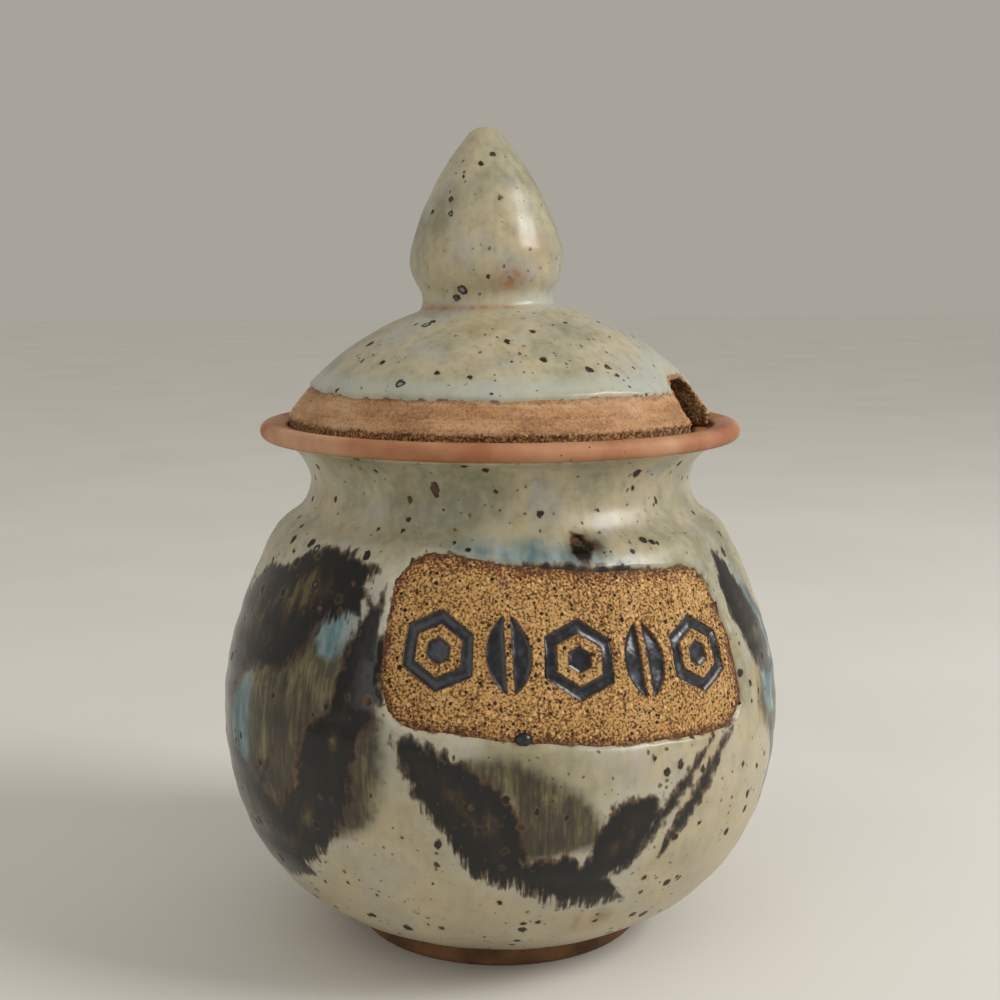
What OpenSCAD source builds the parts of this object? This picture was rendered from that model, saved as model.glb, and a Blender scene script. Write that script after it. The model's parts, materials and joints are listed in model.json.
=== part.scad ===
// Honey pot with a lift-off lid, in thrown stoneware.
// The round pot has a turned foot ring, a flared rim with a rolled lip, and a ledge that carries the lid.
// The domed lid has a pointed knob and a notch in its edge for a spoon.
// Glaze covers the outside down to just above the foot, except on the lip, the band round the lid's edge
// and a panel on the front, which holds five stamped marks filled with glaze.
// Millimetres. +Z is up, the panel faces -Y, and the foot stands on Z = 0.

/* [Pot] */
// Height of the pot to the top of its lip
pot_h = 95.4; // [92:0.2:110]
// Diameter of the clay at the widest point
belly_d = 103; // [99:1:115]
// Height of the widest point
belly_z = 42; // [40:0.5:46]
// Bend radius of the lower wall, from the belly down to the foot
haunch_bend = 33; // [30:0.5:36]
// Angle below the widest point at which the lower wall starts
haunch_from = 20; // [14:1:28]
// Bend radius of the long shoulder above the belly
shoulder_bend = 105; // [85:1:120]
// Slope of the shoulder where it turns in to the neck, in degrees from upright
shoulder_slope = 27.2; // [25:0.1:29]
// Bend radius where the shoulder turns in to the neck
turn_bend = 8; // [7:0.2:9]
// Bend radius of the hollow below the neck
neck_bend = 7.7; // [7:0.1:11]
// Diameter of the clay at the narrowest point of the neck
neck_d = 69.8; // [66:0.2:71]
// Diameter over the rolled lip
rim_d = 88.4; // [87.6:0.2:92]
// Thickness of the rolled lip
lip_t = 3.2; // [2.8:0.1:3.6]
// Thickness of the clay wall
wall_t = 3.6; // [3.2:0.1:4.4]

/* [Foot] */
// Diameter of the foot ring where it stands
foot_d = 53.4; // [46:0.4:58]
// Width of the foot ring where it stands
foot_w = 4.4; // [3:0.2:6]
// Bevel on the edges of the foot ring
foot_bevel = 0.7; // [0.3:0.1:1]
// How much further out each side of the foot ring is where it meets the wall
foot_splay = 0.5; // [0:0.1:1]

/* [Glaze] */
// Thickness of each coat of glaze
glaze_t = 0.5; // [0.3:0.05:0.7]
// Height at which the outer glaze stops above the foot
glaze_z = 5.2; // [4.6:0.2:9]
// Bare strip of clay inside the neck, below the ledge
ledge_bare = 2; // [1:0.2:5]
// Bare strip of clay inside the lid, above its band
edge_bare = 1.5; // [0.5:0.5:4]
// How far the outer glaze stops short of the lip's outer edge
lip_bare = 2.9; // [2.4:0.1:4]

/* [Panel] */
// Width of the bare panel along the wall
panel_w = 65; // [62:1:76]
// Height of the bare panel, measured upright
panel_h = 26.6; // [23:0.2:28]
// Height of the panel's middle
panel_z = 61.4; // [59:0.2:62]
// Radius of the panel's corners
panel_corner = 5; // [2:0.5:8]

/* [Stamped marks] */
// Number of marks
mark_count = 5; // [1:1:5]
// Distance between the middles of two marks, along the wall
mark_pitch = 11.6; // [11:0.1:12]
// Height of a mark
mark_h = 13.4; // [10:0.2:14]
// Width of the line of a six-sided mark
mark_line = 2; // [1.4:0.1:2.4]
// Size across the corners of a six-sided mark's middle
mark_core = 4.4; // [3:0.2:5]
// Width of a leaf mark
leaf_w = 7.4; // [5:0.2:9]
// Width of the rib between a leaf mark's halves
leaf_rib = 1.3; // [0.8:0.1:2]
// Depth of the marks in the clay
mark_depth = 1.4; // [1:0.1:1.8]
// Depth of glaze in the marks
mark_fill = 1; // [0.6:0.1:1]

/* [Lid] */
// Bend radius of the lid's dome, in the clay
dome_bend = 47.2; // [46:0.2:52]
// Thickness of the lid's clay
lid_t = 4.2; // [3.6:0.1:5]
// Drop from the lip's top down to the ledge that carries the lid
seat_drop = 1.6; // [1.2:0.1:2]
// Gap between the lid's edge and the wall round the ledge
lid_gap = 0.5; // [0.3:0.05:0.8]
// Width of the lip's top, from the ledge's wall to the outer edge
lip_w = 5; // [4.6:0.1:5.6]
// Drop of the lip's top from its crest in to the ledge's wall
lip_fall = 0.6; // [0.3:0.1:0.8]
// Height of the set-back edge under the lid's band
edge_h = 2.4; // [1.8:0.1:3]
// Setback of that edge from the band
edge_in = 0.5; // [0.3:0.05:0.8]
// Height of the bare band round the lid
band_h = 4.8; // [3:0.2:7]

/* [Spoon notch] */
// Width of the notch
notch_w = 20; // [14:0.5:24]
// Height of the notch above the lid's bottom edge
notch_h = 9.4; // [7:0.2:12]
// Radius of the notch's upper corners
notch_corner = 6; // [3:0.5:6.5]
// Direction of the notch, in degrees round from the panel
notch_turn = 58.5; // [40:0.5:140]

/* [Knob] */
// Diameter of the knob's clay at its widest point
knob_d = 27.4; // [25:0.2:30]
// Height of the widest point above the dome's crown
knob_rise = 7.4; // [7:0.1:9]
// Height of the tip above the widest point
knob_tip_h = 23.3; // [20:0.1:28]
// Radius of the rounded tip
tip_r = 3.8; // [3:0.1:5]
// Bend radius of the flank between the tip and the widest point
flank_bend = 52; // [40:1:70]
// Bend radius at the widest point
knob_bend = 8.5; // [7:0.1:9.5]
// Diameter of the knob's neck
knob_neck_d = 23; // [20:0.2:24]
// Bend radius of the hollow between the knob and the dome
knob_hollow = 4.1; // [3.8:0.1:4.6]
// How far off centre the knob sits
knob_shift = 2.3; // [0:0.1:2.6]
// Lean of the knob, in degrees
knob_lean = 1; // [0:0.5:2]
// Direction of the shift and the lean, in degrees round from the panel
knob_turn = 254.5; // [0:0.5:359]

/* [Hidden] */
$fn = 96;

// How far the straight steps of an arc may stray from it
arc_error = 0.014;
// Least share of a whole step that an arc's first and last steps take
shortest_step = 0.2;

// Arcs of the pot's outline, each centre given as [distance from the axis, height]
belly_r = belly_d / 2;
belly_c = [0, belly_z];
haunch_c = belly_c + (belly_r - haunch_bend) * [cos(haunch_from), -sin(haunch_from)];
lip_r = lip_t / 2;
lip_c = [rim_d / 2 - lip_r, pot_h - lip_r];
flare_bend = lip_c.x - neck_d / 2;
flare_c = [lip_c.x, lip_c.y - lip_r - flare_bend];
neck_c = [neck_d / 2 + neck_bend, flare_c.y];
// Way from the centre of the shoulder's arc to that of the turn
turn_way = (shoulder_bend - turn_bend) * [cos(shoulder_slope), sin(shoulder_slope)];
shoulder_c = meet(belly_c, shoulder_bend - belly_r, neck_c - turn_way, turn_bend + neck_bend, 1);
turn_c = shoulder_c + turn_way;
// Angles at which the belly gives way to the shoulder, and the turn to the neck
shoulder_from = slope_to(shoulder_c, belly_c);
neck_from = slope_to(turn_c, neck_c);

// Angles on the lower wall's arc where the foot ring's sides meet it
foot_r = foot_d / 2;
foot_outer = -acos((foot_r + foot_splay - haunch_c.x) / haunch_bend);
foot_inner = -acos((foot_r - foot_w - foot_splay - haunch_c.x) / haunch_bend);

// Panel and marks
panel_r = clay_r(panel_z);
panel_tilt = asin((panel_z - shoulder_c.y) / shoulder_bend);
panel_half = degrees_along(panel_w / 2);
panel_low = panel_z - panel_h / 2;
panel_high = panel_z + panel_h / 2;
mark_step = degrees_along(mark_pitch);

// Ledge and lid
seat_r = rim_d / 2 - lip_w;
seat_z = pot_h - seat_drop;
edge_r = seat_r - lid_gap;
band_r = edge_r + edge_in;
band_z = seat_z + edge_h;
dome_c = [0, band_z - sqrt(dome_bend * dome_bend - band_r * band_r)];
crown_z = dome_c.y + dome_bend;

// Arcs of the knob's outline, with heights measured from the dome's crown
knob_c = [knob_d / 2 - knob_bend, knob_rise];
tip_c = [0, knob_rise + knob_tip_h - tip_r];
flank_c = meet(knob_c, flank_bend - knob_bend, tip_c, flank_bend - tip_r, 1);
hollow_x = knob_neck_d / 2 + knob_hollow;
hollow_c = [hollow_x, knob_rise - sqrt(pow(knob_bend + knob_hollow, 2) - pow(hollow_x - knob_c.x, 2))];
// Angles at which the hollow gives way to the knob, the knob to the flank, and the flank to the tip
knob_from = slope_to(hollow_c, knob_c) - 180;
flank_from = slope_to(flank_c, knob_c);
tip_from = slope_to(flank_c, tip_c);

// The point at distance a from p and b from q, to the left of the way from p to q if side is 1
function meet(p, a, q, b, side) =
    let (v = q - p, d = norm(v), along = (d * d + a * a - b * b) / (2 * d))
    p + along * v / d + side * sqrt(a * a - along * along) * [-v.y, v.x] / d;
// Slope of the way from p to q, in degrees
function slope_to(p, q) = atan2(q.y - p.y, q.x - p.x);
// Points along an arc about c, from one angle to another. Between its ends they lie at whole steps that suit
// the radius, so that two arcs with one centre and one radius share them and a coat lies close on its wall.
function arc(c, r, from, to) =
    let (step = 2 * acos(1 - arc_error / r), way = sign(to - from),
         first = ceil(way * from / step + shortest_step), last = floor(way * to / step - shortest_step))
    [for (a = concat([from], [for (k = [first : 1 : last]) way * k * step], [to])) c + r * [cos(a), sin(a)]];
// A list without its last point, where the next arc starts at that point
function but_last(points) = [for (k = [0 : len(points) - 2]) points[k]];
// The same points the other way round
function reverse(points) = [for (k = [len(points) - 1 : -1 : 0]) points[k]];
// Distance from the axis to the clay's surface on the shoulder
function clay_r(z) = shoulder_c.x + sqrt(pow(shoulder_bend, 2) - pow(z - shoulder_c.y, 2));
// Turn about the axis that a length along the wall takes, at the panel's middle
function degrees_along(length) = length / panel_r * 180 / PI;

// The pot's wall, grown by a distance, from an angle on its lower arc to an angle on the flare
function wall(grow, from, to) = concat(
    but_last(arc(haunch_c, haunch_bend + grow, from, -haunch_from)),
    but_last(arc(belly_c, belly_r + grow, -haunch_from, shoulder_from)),
    but_last(arc(shoulder_c, shoulder_bend + grow, shoulder_from, shoulder_slope)),
    but_last(arc(turn_c, turn_bend + grow, shoulder_slope, neck_from)),
    but_last(arc(neck_c, neck_bend - grow, neck_from + 180, 180)),
    arc(flare_c, flare_bend - grow, 180, to));
// Angle on the inside of the flare at which it comes up to a height
function inside_angle(z) = 180 - asin((z - flare_c.y) / (flare_bend + wall_t));
// Section of the coat between two lines of points
function coat(outer, inner) = concat(outer, reverse(inner));
// The dome's outline, grown by a distance, from a height up to the axis
function dome(grow, low) = arc(dome_c, dome_bend + grow, asin((low - dome_c.y) / (dome_bend + grow)), 90);
// The knob's outline, grown by a distance, from the dome up to the tip
function knob(grow) = concat(
    but_last(arc(hollow_c, knob_hollow - grow, 270, knob_from + 180)),
    but_last(arc(knob_c, knob_bend + grow, knob_from, flank_from)),
    but_last(arc(flank_c, flank_bend + grow, flank_from, tip_from)),
    arc(tip_c, tip_r + grow, tip_from, 90));

// One mark as it is stamped: a six-sided cell with a core, or an upright leaf in two halves
module mark_shape(i) {
    if (i % 2 == 0) {
        difference() {
            rotate(30) circle(d = mark_h, $fn = 6);
            rotate(30) circle(d = mark_h - 2 * mark_line / cos(30), $fn = 6);
        }
        rotate(30) circle(d = mark_core, $fn = 6);
    } else {
        bend = (mark_h * mark_h + leaf_w * leaf_w) / (4 * leaf_w);
        difference() {
            intersection() {
                translate([bend - leaf_w / 2, 0]) circle(bend);
                translate([leaf_w / 2 - bend, 0]) circle(bend);
            }
            square([leaf_rib, 2 * mark_h], center = true);
        }
    }
}

// All the marks as punches, square to the wall where they stand
module mark_punches() {
    reach = mark_depth + 2;
    for (i = [0 : mark_count - 1])
        rotate((i - (mark_count - 1) / 2) * mark_step)
            translate([0, -panel_r, panel_z])
                rotate([90 - panel_tilt, 0, 0])
                    translate([0, 0, -reach]) linear_extrude(2 * reach) mark_shape(i);
}

// The pot up to its neck as a plug without a cavity, shrunk by a depth
module pot_plug(depth) {
    side = wall(-depth, -90, 150);
    rotate_extrude() polygon(concat([[0, side[0].y]], side, [[0, side[len(side) - 1].y]]));
}

// Wedge from the axis out past the wall, to both sides of the panel's middle, between two heights
module panel_wedge(half, low, high) {
    translate([0, 0, low]) linear_extrude(high - low)
        polygon([[0, 0], belly_d * [-sin(half), -cos(half)], belly_d * [sin(half), -cos(half)]]);
}

// Everything in front of the bare panel, with rounded corners
module panel_window() {
    low_half = panel_half - asin(panel_corner / clay_r(panel_low));
    high_half = panel_half - asin(panel_corner / clay_r(panel_high));
    panel_wedge(low_half, panel_low, panel_low + panel_corner);
    panel_wedge(panel_half, panel_low + panel_corner, panel_high - panel_corner);
    panel_wedge(high_half, panel_high - panel_corner, panel_high);
    for (side = [-1, 1]) {
        rotate(side * low_half) translate([0, 0, panel_low + panel_corner])
            rotate([90, 0, 0]) cylinder(r = panel_corner, h = belly_d);
        rotate(side * high_half) translate([0, 0, panel_high - panel_corner])
            rotate([90, 0, 0]) cylinder(r = panel_corner, h = belly_d);
    }
}

// Round pot with its foot ring and lip
module pot_body() {
    run = lip_c.x - seat_r;
    crest_bend = (run * run + lip_fall * lip_fall) / (2 * lip_fall);
    underside = concat([[0, haunch_c.y - haunch_bend]], arc(haunch_c, haunch_bend, -90, foot_inner));
    foot = [[foot_r - foot_w, foot_bevel], [foot_r - foot_w + foot_bevel, 0],
            [foot_r - foot_bevel, 0], [foot_r, foot_bevel]];
    lip = concat(arc(lip_c, lip_r, -90, 90),
                 arc([lip_c.x, pot_h - crest_bend], crest_bend, 90, 90 + asin(run / crest_bend)));
    cavity = concat([[0, haunch_c.y - haunch_bend + wall_t]], wall(-wall_t, -90, inside_angle(seat_z)));
    color("peru") difference() {
        rotate_extrude() polygon(concat(underside, foot, but_last(wall(0, foot_outer, 90)), lip,
                                        [[seat_r, seat_z]], reverse(cavity)));
        difference() {
            mark_punches();
            pot_plug(mark_depth);
        }
    }
}

// Coat of glaze on the outside of the pot, open round the bare panel
module pot_outer_glaze() {
    low = asin((glaze_z - haunch_c.y) / haunch_bend);
    high = acos(-(lip_bare - lip_r) / flare_bend);
    color("darkseagreen") difference() {
        rotate_extrude() polygon(coat(wall(glaze_t, low, high), wall(0, low, high)));
        panel_window();
    }
}

// Coat of glaze on the inside of the pot, up to the ledge
module pot_inner_glaze() {
    high = inside_angle(seat_z - ledge_bare);
    floor_z = haunch_c.y - haunch_bend + wall_t;
    color("lightgray") rotate_extrude() polygon(coat(
        concat([[0, floor_z]], wall(-wall_t, -90, high)),
        concat([[0, floor_z + glaze_t]], wall(-wall_t - glaze_t, -90, high))));
}

// Glaze in the stamped marks
module panel_marks() {
    color("midnightblue") difference() {
        intersection() {
            mark_punches();
            pot_plug(mark_depth - mark_fill);
        }
        pot_plug(mark_depth);
    }
}

// Notch for the spoon, cut straight in through the lid's edge
module notch() {
    reach = notch_w / 2 - notch_corner;
    rotate(notch_turn) translate([0, 0, seat_z]) rotate([90, 0, 0]) linear_extrude(rim_d)
        polygon(concat([[-notch_w / 2, -1], [notch_w / 2, -1]],
                       arc([reach, notch_h - notch_corner], notch_corner, 0, 90),
                       arc([-reach, notch_h - notch_corner], notch_corner, 90, 180)));
}

// The dome as a solid without its hollow, grown by a distance, from a height up
module dome_solid(grow, low) {
    rotate_extrude() polygon(concat([[0, low]], dome(grow, low)));
}

// The knob as a turned solid in its place, a little off centre and leaning
module knob_solid(grow) {
    rotate(knob_turn) translate([0, -knob_shift, crown_z]) rotate([knob_lean, 0, 0])
        rotate_extrude() polygon(concat([[0, hollow_c.y - knob_hollow + grow]], knob(grow)));
}

// Dome of the lid, with its set-back edge that stands on the ledge
module lid_dome() {
    color("sienna") difference() {
        rotate_extrude() polygon(concat([[edge_r, seat_z], [edge_r, band_z]], dome(0, band_z),
                                        reverse(dome(-lid_t, seat_z))));
        notch();
    }
}

// Pointed knob, joined on to the dome's crown
module lid_knob() {
    color("burlywood") difference() {
        knob_solid(0);
        dome_solid(0, band_z);
    }
}

// Coat of glaze over the dome and the knob, down to the bare band
module lid_outer_glaze() {
    color("darkseagreen") difference() {
        union() {
            dome_solid(glaze_t, band_z + band_h);
            knob_solid(glaze_t);
        }
        dome_solid(0, band_z);
        knob_solid(0);
        notch();
    }
}

// Coat of glaze on the inside of the lid
module lid_inner_glaze() {
    low = band_z + edge_bare;
    color("lightgray") difference() {
        rotate_extrude() polygon(coat(dome(-lid_t, low), dome(-lid_t - glaze_t, low)));
        notch();
    }
}

pot_body();
pot_outer_glaze();
pot_inner_glaze();
panel_marks();
lid_dome();
lid_knob();
lid_outer_glaze();
lid_inner_glaze();
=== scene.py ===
# Thrown stoneware honey pot with a lift-off lid: its clay, its glazes, its brushwork and a small studio.
import json
import math

import bpy
import numpy as np
from bpy.props import FloatProperty, FloatVectorProperty, IntProperty, PointerProperty
from bpy.types import Operator, Panel, PropertyGroup
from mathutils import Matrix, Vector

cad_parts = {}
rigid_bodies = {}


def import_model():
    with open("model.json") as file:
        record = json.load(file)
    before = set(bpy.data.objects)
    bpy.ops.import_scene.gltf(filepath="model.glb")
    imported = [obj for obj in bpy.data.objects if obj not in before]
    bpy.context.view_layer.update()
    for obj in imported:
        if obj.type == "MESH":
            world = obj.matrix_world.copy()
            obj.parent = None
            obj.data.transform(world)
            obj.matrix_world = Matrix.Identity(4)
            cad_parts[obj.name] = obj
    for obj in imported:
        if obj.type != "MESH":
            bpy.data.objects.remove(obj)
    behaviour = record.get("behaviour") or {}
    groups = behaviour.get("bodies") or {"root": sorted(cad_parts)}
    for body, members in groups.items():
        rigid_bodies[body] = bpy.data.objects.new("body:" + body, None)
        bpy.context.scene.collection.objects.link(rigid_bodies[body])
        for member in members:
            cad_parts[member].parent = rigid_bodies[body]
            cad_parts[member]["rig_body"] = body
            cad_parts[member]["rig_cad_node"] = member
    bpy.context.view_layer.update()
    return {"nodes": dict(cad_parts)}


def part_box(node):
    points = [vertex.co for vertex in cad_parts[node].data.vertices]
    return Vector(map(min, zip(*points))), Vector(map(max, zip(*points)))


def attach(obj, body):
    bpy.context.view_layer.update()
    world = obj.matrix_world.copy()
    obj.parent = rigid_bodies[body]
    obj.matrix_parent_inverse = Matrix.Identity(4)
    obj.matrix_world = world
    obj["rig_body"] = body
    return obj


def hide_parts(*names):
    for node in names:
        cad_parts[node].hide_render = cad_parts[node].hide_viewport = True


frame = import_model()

bl_info = {
    "name": "Honey pot looks",
    "version": (1, 0, 0),
    "blender": (4, 5, 0),
    "location": "View3D > Sidebar > Honey pot",
    "description": "Clay, glazes, stamped marks and brushwork of a thrown honey pot, with a studio round it",
    "category": "Add Mesh",
}

MM = 0.001

# Places that the frame gives: the axis is X = Y = 0, and the panel faces -Y
MARKS_LOW, MARKS_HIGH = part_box("panel_marks")
LID_LOW, LID_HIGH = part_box("lid_dome")
LID_COAT_LOW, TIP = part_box("lid_outer_glaze")

# From the turned section: the wall's radius at the panel's middle and how far it leans there, and the radii at which
# the outer glaze stops over the foot and under the lip
PANEL_R = 48.05 * MM
PANEL_LEAN = math.cos(math.radians(19.6))
FOOT_LINE = 30.1 * MM
LIP_LINE = 41.3 * MM
# Heights: the foot lies below the first and the flared rim above the second, and the thrown wall is uneven between
# the next two. The pot's inside is cut out between the two after them, and the coats inside the pot and the lid
# stop at the last two.
FOOT_TO, RIM_FROM = 20 * MM, 88 * MM
UNEVEN_FROM, UNEVEN_TO = 4.5 * MM, 91 * MM
INSIDE_FLOOR, INSIDE_RIM = 5.5 * MM, 93.4 * MM
INSIDE_STOP, LID_INSIDE_STOP = 92.1 * MM, 97.7 * MM
# Thickness behind the face of an outer and an inner coat
OUTER_BACK, INNER_BACK = 0.25 * MM, 0.2 * MM
# How far the panel and its marks fall for each step to the right
PANEL_FALL = 0.073
# Radius at which the brushwork is laid out
WALL_R = 50 * MM
# The drop of dark glaze that fell on the panel's lower edge: direction from the panel's middle, height and radius
DROP_TURN, DROP_UP, DROP_SIZE = math.radians(-12.2), 49.4 * MM, 1.3 * MM
# Orange blushes on the knob: direction in degrees from the front, height of the middle, half width and half height
# in mm, and strength
KNOB_BLUSHES = ((3, 121.5, 2.8, 2.2, 0.9), (24, 127, 3.4, 2.6, 0.5), (150, 123, 3.0, 3.0, 0.5))
# Lamps: name, place and size in metres, and power in watts
LAMPS = (("key", (0.62, -0.4, 0.55), 0.34, 5.0), ("fill", (-0.7, -0.5, 0.4), 0.6, 1.0))
# The camera: its place, how many degrees it looks down and turns about the upright, and its lens in mm
CAMERA_PLACE = (-77.8 * MM, -280.4 * MM, 123 * MM)
CAMERA_DOWN, CAMERA_TURN, LENS = 8.4, -15.5, 56.6


def colour(text):
    """Linear colour, as Blender wants it, from an sRGB hex value."""
    parts = [int(text[k:k + 2], 16) / 255 for k in (1, 3, 5)]
    return tuple(c / 12.92 if c <= 0.04045 else ((c + 0.055) / 1.055) ** 2.4 for c in parts) + (1.0,)


def length(name, size, description, **more):
    """A length in millimetres that a user can change."""
    return FloatProperty(name=name, description=description, default=size * MM, unit="LENGTH", **more)


def turn_of(name, degrees, description):
    """A direction round the axis that a user can change."""
    return FloatProperty(name=name, description=description, default=math.radians(degrees), unit="ROTATION")


def tone(name, text, description):
    """A colour that a user can change."""
    return FloatVectorProperty(name=name, description=description, default=colour(text), subtype="COLOR", size=4,
                               min=0.0, max=1.0)


class PotSizes(PropertyGroup):
    """Sizes of the pot's panel, marks and glaze edges."""
    columns: IntProperty(name="Columns", description="Steps of the turned wall round its axis", default=80)
    panel_width: length("Panel width", 65, "Width of the bare panel along the wall")
    panel_height: length("Panel height", 26.6, "Height of the bare panel")
    panel_corner: length("Panel corner", 5, "Radius of the bare panel's corners")
    mark_pitch: length("Mark pitch", 11.6, "Distance between two stamped marks along the wall")
    mark_height: length("Mark height", 13.4, "Height of a stamped mark")
    mark_line: length("Mark line", 2, "Width of the line of a six-sided mark")
    mark_core: length("Mark core", 4.4, "Size across the corners of a six-sided mark's middle")
    leaf_width: length("Leaf width", 7.4, "Width of a leaf mark")
    leaf_rib: length("Leaf rib", 1.3, "Width of the rib between a leaf mark's halves")
    mark_depth: length("Mark depth", 1.3, "Depth of the marks in the clay")
    glaze: length("Glaze", 0.5, "Thickness of a coat of glaze")
    edge_wave: length("Edge wave", 0.45, "How far a glaze edge strays from its line")


class LidSizes(PropertyGroup):
    """Sizes of the lid's notch and of the steps in its skin."""
    voxel: length("Skin step", 0.45, "Size of the faces on the lid's outer glaze", precision=5)
    notch_turn: turn_of("Notch turn", 58.5, "Direction of the spoon notch, from the panel")
    notch_width: length("Notch width", 20, "Width of the spoon notch")
    notch_height: length("Notch height", 9.4, "Height of the notch above the lid's edge")
    notch_corner: length("Notch corner", 6, "Radius of the notch's upper corners")
    knob_turn: turn_of("Knob turn", 254.5, "Direction of the knob's shift, from the panel")
    knob_shift: length("Knob shift", 2.3, "How far off centre the knob sits")
    crease: length("Knob crease", 11.9, "Distance from the knob's axis to the crease at its base")


class PotTones(PropertyGroup):
    """Main colours of the clay and the glazes."""
    glaze_deep: tone("Deep glaze", "#838168", "Celadon where it is greenest")
    glaze: tone("Glaze", "#A29B80", "Celadon on most of the wall")
    glaze_warm: tone("Warm glaze", "#B5A888", "Celadon where it is thin and beige")
    speck: tone("Specks", "#4A3018", "Small iron specks in the glaze")
    iron: tone("Brushed iron", "#080503", "Brushed iron where it lies thickest")
    cobalt: tone("Brushed cobalt", "#54757D", "Blue wash under the leaves")
    clay: tone("Clay", "#A67B43", "Bare clay of the panel")
    lip: tone("Lip", "#B17C57", "Bare clay of the lip")
    band: tone("Band", "#B3855C", "Bare clay of the lid's band")
    marks: tone("Marks", "#141A22", "Glaze in the stamped marks")


def sizes():
    return bpy.context.scene.honey_pot


def lid_sizes():
    return bpy.context.scene.honey_lid


def tones():
    return bpy.context.scene.honey_tones


def alone(piece):
    """Selects one object and nothing else."""
    if bpy.context.object and bpy.context.object.mode != "OBJECT":
        bpy.ops.object.mode_set(mode="OBJECT")
    bpy.ops.object.select_all(action="DESELECT")
    piece.select_set(True)
    bpy.context.view_layer.objects.active = piece


def choose(piece, mask, kind="VERT"):
    """Opens a piece in edit mode with only some of its vertices or faces selected."""
    alone(piece)
    bpy.ops.object.mode_set(mode="EDIT")
    bpy.ops.mesh.select_mode(type=kind)
    bpy.ops.mesh.select_all(action="DESELECT")
    bpy.ops.object.mode_set(mode="OBJECT")
    parts = piece.data.vertices if kind == "VERT" else piece.data.polygons
    parts.foreach_set("select", np.asarray(mask, bool))
    bpy.ops.object.mode_set(mode="EDIT")


def close_edit():
    bpy.ops.object.mode_set(mode="OBJECT")


def apply_modifier(piece, kind, **settings):
    """Adds a modifier with its settings and applies it."""
    alone(piece)
    modifier = piece.modifiers.new(kind.title(), kind)
    for key, value in settings.items():
        setattr(modifier, key, value)
    bpy.ops.object.modifier_apply(modifier=modifier.name)


def points(piece, kind="co"):
    """A piece's vertices as three rows: X, Y and Z."""
    flat = np.empty(len(piece.data.vertices) * 3)
    piece.data.vertices.foreach_get(kind, flat)
    return flat.reshape(-1, 3).T


def normals(piece):
    return points(piece, "normal")


def facing(piece):
    """How far each vertex's normal points away from the axis, from -1 to 1."""
    x, y, _ = points(piece)
    nx, ny, _ = normals(piece)
    return (x * nx + y * ny) / np.maximum(np.hypot(x, y), 1e-9)


def outward(piece):
    """Mask of the vertices on the outside of the wall."""
    return facing(piece) > 0.2


def keep(piece, mask):
    """Deletes the vertices that aren't in the mask."""
    choose(piece, ~mask)
    bpy.ops.mesh.delete(type="VERT")
    close_edit()


def note(piece, name, values):
    """Writes a value for each vertex that the piece's material reads."""
    layer = piece.data.attributes.get(name) or piece.data.attributes.new(name, "FLOAT", "POINT")
    layer.data.foreach_set("value", np.asarray(values, np.float32))


def lift(piece, heights):
    """Moves each vertex along its normal by its own height in metres, first those that rise, then the others."""
    for way in (1, -1):
        shares = np.maximum(way * heights, 0)
        most = float(shares.max())
        if most > 1e-9:
            group = piece.vertex_groups.new(name="lift")
            for k, share in enumerate((shares / most).tolist()):
                if share > 0:
                    group.add([k], share, "REPLACE")
            apply_modifier(piece, "DISPLACE", strength=way * most, mid_level=0, vertex_group="lift")
            piece.vertex_groups.clear()


def step(low, high, value):
    """0 below low, 1 above high, and a smooth rise between them."""
    t = np.clip((value - low) / (high - low), 0, 1)
    return t * t * (3 - 2 * t)


def hump(value, middle, width):
    return np.exp(-((value - middle) / width) ** 2)


def ripple(turn, height, seed):
    """A wave between about -1 and 1 that closes on itself round the axis."""
    return (0.42 * np.sin(3 * turn + seed + 90 * height) + 0.3 * np.sin(7 * turn + 2.3 * seed - 140 * height)
            + 0.22 * np.sin(17 * turn + 3.1 * seed + 230 * height) + 0.14 * np.sin(41 * turn + 1.7 * seed))


def coat_height(gap):
    """Height of a glaze's surface over the clay at a distance inside its edge: a rounded edge with a low bead,
    which dips under the clay outside the edge."""
    thickness, buried = sizes().glaze, 0.3 * MM
    rise = step(-0.32 * MM, 0.75 * MM, gap)
    bead = 0.1 * hump(gap, 0.9 * MM, 0.5 * MM)
    return (thickness + buried) * rise - buried + thickness * bead


def working_copy(node, name):
    """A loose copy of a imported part, with its triangles joined."""
    source = frame["nodes"][node]
    piece = source.copy()
    piece.data = source.data.copy()
    piece.data.materials.clear()
    piece.name = name
    piece.parent = None
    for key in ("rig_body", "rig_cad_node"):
        if key in piece:
            del piece[key]
    piece.hide_render = piece.hide_viewport = False
    bpy.context.scene.collection.objects.link(piece)
    alone(piece)
    bpy.ops.object.mode_set(mode="EDIT")
    bpy.ops.mesh.select_all(action="SELECT")
    bpy.ops.mesh.remove_doubles(threshold=1e-6)
    bpy.ops.mesh.customdata_custom_splitnormals_clear()
    close_edit()
    return piece


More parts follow.
